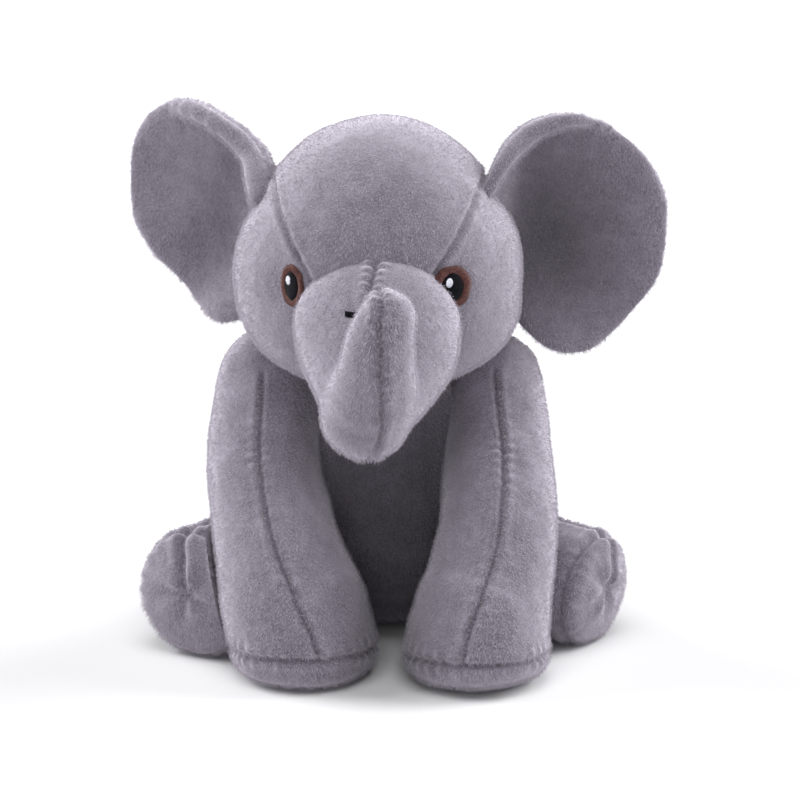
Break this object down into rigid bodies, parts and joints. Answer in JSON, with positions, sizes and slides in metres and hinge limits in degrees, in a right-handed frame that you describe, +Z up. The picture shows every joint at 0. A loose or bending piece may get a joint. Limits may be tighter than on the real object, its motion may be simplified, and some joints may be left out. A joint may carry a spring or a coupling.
{
  "type": "stuffed elephant",
  "caption": "Sitting plush elephant in grey short-pile fabric, with a raised trunk, cupped ears, embroidered eyes and soft limbs that bend and spring back.",
  "frame": {"origin": "middle of the flat seat that the elephant sits on", "axes": "+Z up, the elephant faces -Y, its own left side is +X"},
  "size_m": [0.1928, 0.1845, 0.2014],
  "materials": {
    "plush": "matte",
    "stuffing": "matte",
    "cotton": "matte",
    "pellets": "matte",
    "brown_thread": "satin",
    "black_thread": "satin",
    "white_thread": "satin"
  },
  "bodies": {
    "torso": {"belly_panel": "plush", "body_side_left": "plush", "body_side_right": "plush", "seat_panel": "plush", "seat_pouch": "cotton", "seat_pellets": "pellets", "body_stuffing": "stuffing"},
    "neck": {"neck_stuffing": "stuffing"},
    "head": {"forehead_gusset": "plush", "cheek_left": "plush", "cheek_right": "plush", "chin_panel": "plush", "head_back_panel": "plush", "head_stuffing": "stuffing", "eye_left_iris": "brown_thread", "eye_left_pupil": "black_thread", "eye_left_glint": "white_thread", "eye_right_iris": "brown_thread", "eye_right_pupil": "black_thread", "eye_right_glint": "white_thread"},
    "trunk": {"trunk_side_left": "plush", "trunk_side_right": "plush", "trunk_stuffing": "stuffing", "trunk_crease_stitch": "black_thread"},
    "ear_left": {"ear_left_front_panel": "plush", "ear_left_wadding": "stuffing", "ear_left_back_panel": "plush"},
    "ear_right": {"ear_right_front_panel": "plush", "ear_right_wadding": "stuffing", "ear_right_back_panel": "plush"},
    "arm_left": {"arm_left_outer_panel": "plush", "arm_left_inner_panel": "plush", "arm_left_sole": "plush", "arm_left_stuffing": "stuffing"},
    "arm_right": {"arm_right_outer_panel": "plush", "arm_right_inner_panel": "plush", "arm_right_sole": "plush", "arm_right_stuffing": "stuffing"},
    "leg_left": {"leg_left_outer_panel": "plush", "leg_left_inner_panel": "plush", "leg_left_sole": "plush", "leg_left_stuffing": "stuffing"},
    "leg_right": {"leg_right_outer_panel": "plush", "leg_right_inner_panel": "plush", "leg_right_sole": "plush", "leg_right_stuffing": "stuffing"},
    "tail": {"tail": "plush"}
  },
  "joints": [
    {"name": "neck_turn", "type": "hinge", "parent": "torso", "child": "neck", "pos_m": [0, -0.023, 0.1], "axis": [0, 0, 1], "range_deg": [-25, 25], "stiffness_Nm_per_rad": 0.3},
    {"name": "head_nod", "type": "hinge", "parent": "neck", "child": "head", "pos_m": [0, -0.023, 0.1], "axis": [-0.9986, 0.0523, 0], "range_deg": [-10, 12], "stiffness_Nm_per_rad": 0.6},
    {"name": "trunk_lift", "type": "hinge", "parent": "head", "child": "trunk", "pos_m": [-0.0043, -0.06684, 0.13], "axis": [-0.9986, 0.0523, 0], "range_deg": [-10, 25], "stiffness_Nm_per_rad": 0.15},
    {"name": "ear_left_flap", "type": "hinge", "parent": "head", "child": "ear_left", "pos_m": [0.04583, -0.0274, 0.144], "axis": [0, 0, -1], "range_deg": [-20, 30], "stiffness_Nm_per_rad": 0.02},
    {"name": "ear_right_flap", "type": "hinge", "parent": "head", "child": "ear_right", "pos_m": [-0.04704, -0.02254, 0.15], "axis": [0, 0, 1], "range_deg": [-20, 30], "stiffness_Nm_per_rad": 0.02},
    {"name": "arm_left_swing", "type": "hinge", "parent": "torso", "child": "arm_left", "pos_m": [0.041, -0.023, 0.086], "axis": [-1, 0, 0], "range_deg": [-3, 30], "stiffness_Nm_per_rad": 0.2},
    {"name": "arm_right_swing", "type": "hinge", "parent": "torso", "child": "arm_right", "pos_m": [-0.041, -0.023, 0.086], "axis": [-1, 0, 0], "range_deg": [-3, 30], "stiffness_Nm_per_rad": 0.2},
    {"name": "leg_left_splay", "type": "hinge", "parent": "torso", "child": "leg_left", "pos_m": [0.036, -0.005, 0.024], "axis": [0, 0, 1], "range_deg": [0, 30], "stiffness_Nm_per_rad": 0.15},
    {"name": "leg_right_splay", "type": "hinge", "parent": "torso", "child": "leg_right", "pos_m": [-0.036, -0.005, 0.024], "axis": [0, 0, -1], "range_deg": [0, 30], "stiffness_Nm_per_rad": 0.15},
    {"name": "tail_lift", "type": "hinge", "parent": "torso", "child": "tail", "pos_m": [0, 0.044, 0.027], "axis": [1, 0, 0], "range_deg": [-5, 30], "stiffness_Nm_per_rad": 0.01}
  ]
}
